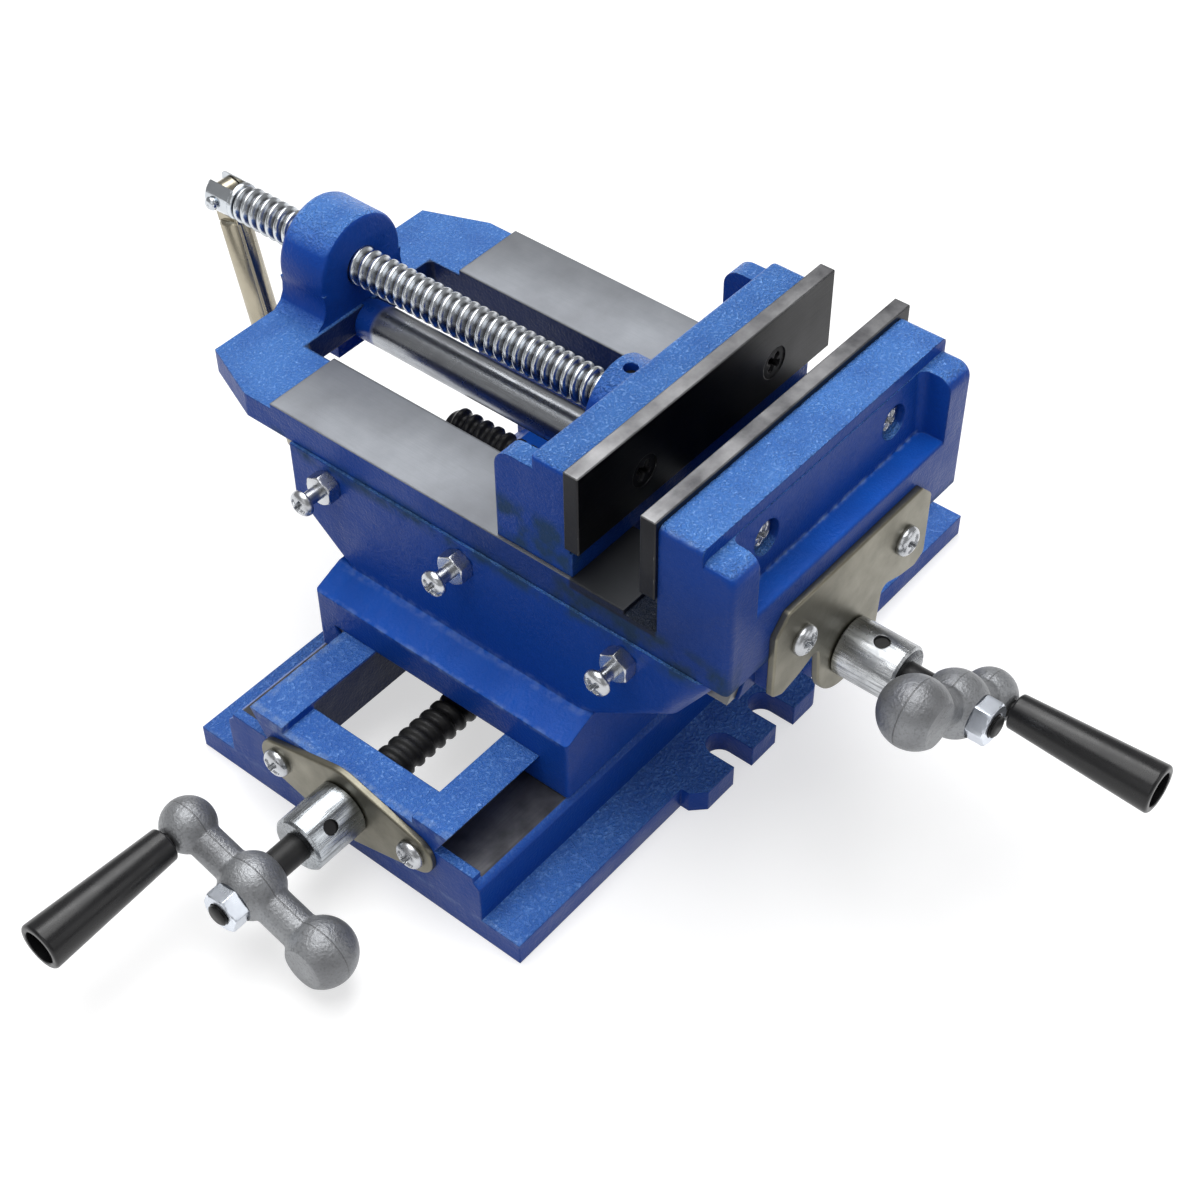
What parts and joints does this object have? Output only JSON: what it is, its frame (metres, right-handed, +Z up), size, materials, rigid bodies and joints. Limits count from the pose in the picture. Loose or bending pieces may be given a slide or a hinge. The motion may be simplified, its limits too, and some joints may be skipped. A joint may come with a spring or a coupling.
{
  "type": "cross slide vise",
  "caption": "Screw vise on two crossed dovetail slides, each moved by a lead screw with a ball crank, for placing work under a drill press spindle.",
  "frame": {"origin": "support plane under the middle of the base casting", "axes": "+Z up, X along the base's dovetail with the lower crank at -X, Y along the vise's screw with the fixed jaw and upper crank at -Y"},
  "size_m": [0.3534, 0.3723, 0.1538],
  "materials": {
    "base": "blue enamel over rough cast iron",
    "saddle": "blue enamel over rough cast iron",
    "vise_body": "blue enamel over cast iron, ways ground bare",
    "movable_jaw": "blue enamel over rough cast iron",
    "fixed_jaw_plate": "blackened steel, ground top edge",
    "movable_jaw_plate": "blackened steel, ground top edge",
    "fixed_jaw_screws": "zinc plated",
    "movable_jaw_screws": "zinc plated",
    "guide_rod": "ground steel, blue paint at the rear end",
    "jaw_screw": "bright zinc plated",
    "jaw_retaining_screw": "blackened steel",
    "handle_bar": "bright plated",
    "handle_pin": "bright plated",
    "upper_gib": "ground steel",
    "lower_gib": "ground steel",
    "upper_gib_screws": "zinc plated",
    "upper_gib_nuts": "zinc plated",
    "lower_gib_screws": "zinc plated",
    "lower_gib_nuts": "zinc plated",
    "upper_lead_screw": "blackened steel, oiled",
    "lower_lead_screw": "blackened steel, oiled",
    "upper_lead_nut": "bare cast iron",
    "lower_lead_nut": "bare cast iron",
    "upper_nut_screw": "blackened steel",
    "lower_nut_screw": "blackened steel",
    "upper_end_plate": "zinc plated sheet",
    "upper_plate_screws": "zinc plated",
    "lower_end_plate": "zinc plated sheet",
    "lower_plate_screws": "zinc plated",
    "upper_collar": "turned and zinc plated",
    "upper_collar_set_screw": "blackened steel",
    "lower_collar": "turned and zinc plated",
    "lower_collar_set_screw": "blackened steel",
    "upper_crank": "matt die casting",
    "lower_crank": "matt die casting",
    "upper_crank_nut": "zinc plated",
    "lower_crank_nut": "zinc plated",
    "upper_grip_spindle": "blackened steel",
    "lower_grip_spindle": "blackened steel",
    "upper_grip": "black moulded plastic",
    "lower_grip": "black moulded plastic"
  },
  "bodies": {
    "base_body": {"base": "base", "lower_end_plate": "lower_end_plate", "lower_plate_screws": "lower_plate_screws"},
    "saddle_body": {"saddle": "saddle", "upper_gib": "upper_gib", "upper_gib_screws": "upper_gib_screws", "upper_gib_nuts": "upper_gib_nuts", "lower_gib": "lower_gib", "lower_gib_screws": "lower_gib_screws", "lower_gib_nuts": "lower_gib_nuts", "upper_lead_nut": "upper_lead_nut", "lower_lead_nut": "lower_lead_nut", "upper_nut_screw": "upper_nut_screw", "lower_nut_screw": "lower_nut_screw"},
    "vise": {"vise_body": "vise_body", "fixed_jaw_plate": "fixed_jaw_plate", "fixed_jaw_screws": "fixed_jaw_screws", "guide_rod": "guide_rod", "upper_end_plate": "upper_end_plate", "upper_plate_screws": "upper_plate_screws"},
    "jaw": {"movable_jaw": "movable_jaw", "movable_jaw_plate": "movable_jaw_plate", "movable_jaw_screws": "movable_jaw_screws", "jaw_retaining_screw": "jaw_retaining_screw"},
    "clamp_screw": {"jaw_screw": "jaw_screw", "handle_pin": "handle_pin"},
    "handle": {"handle_bar": "handle_bar"},
    "upper_drive": {"upper_lead_screw": "upper_lead_screw", "upper_collar": "upper_collar", "upper_collar_set_screw": "upper_collar_set_screw", "upper_crank": "upper_crank", "upper_crank_nut": "upper_crank_nut", "upper_grip_spindle": "upper_grip_spindle"},
    "lower_drive": {"lower_lead_screw": "lower_lead_screw", "lower_collar": "lower_collar", "lower_collar_set_screw": "lower_collar_set_screw", "lower_crank": "lower_crank", "lower_crank_nut": "lower_crank_nut", "lower_grip_spindle": "lower_grip_spindle"},
    "upper_grip_body": {"upper_grip": "upper_grip"},
    "lower_grip_body": {"lower_grip": "lower_grip"}
  },
  "joints": [
    {"name": "lower_crank_turn", "type": "hinge", "parent": "base_body", "child": "lower_drive", "pos_m": [-0.1681, 0, 0.0245], "axis": [1, 0, 0], "range_deg": [-3960.5, 2808.5]},
    {"name": "saddle_slide", "type": "slide", "parent": "base_body", "child": "saddle_body", "axis": [1, 0, 0], "range_m": [-0.039, 0.055]},
    {"name": "upper_crank_turn", "type": "hinge", "parent": "vise", "child": "upper_drive", "pos_m": [-0.0087, -0.1465, 0.0744], "axis": [0, 1, 0], "range_deg": [-4608.5, 288.5]},
    {"name": "vise_slide", "type": "slide", "parent": "saddle_body", "child": "vise", "axis": [0, 1, 0], "range_m": [-0.064, 0.004]},
    {"name": "jaw_screw_turn", "type": "hinge", "parent": "jaw", "child": "clamp_screw", "pos_m": [-0.0087, -0.0207, 0.1233], "axis": [0, 1, 0], "range_deg": [-1980.5, 8325.5]},
    {"name": "jaw_slide", "type": "slide", "parent": "vise", "child": "jaw", "axis": [0, 1, 0], "range_m": [-0.022, 0.0925]},
    {"name": "handle_fold", "type": "hinge", "parent": "clamp_screw", "child": "handle", "pos_m": [-0.0087, 0.1603, 0.1233], "axis": [1, 0, 0], "range_deg": [0, 204]},
    {"name": "upper_grip_turn", "type": "hinge", "parent": "upper_drive", "child": "upper_grip_body", "pos_m": [0.01431, -0.1465, 0.05793], "axis": [0, 1, 0], "continuous": true},
    {"name": "lower_grip_turn", "type": "hinge", "parent": "lower_drive", "child": "lower_grip_body", "pos_m": [-0.1681, 0.02699, 0.03301], "axis": [1, 0, 0], "continuous": true}
  ],
  "couplings": [
    {"joint": "lower_crank_turn", "follows": "saddle_slide", "rad_per_m": -1256.6},
    {"joint": "upper_crank_turn", "follows": "vise_slide", "rad_per_m": 1256.6},
    {"joint": "jaw_screw_turn", "follows": "jaw_slide", "rad_per_m": 1570.8}
  ]
}
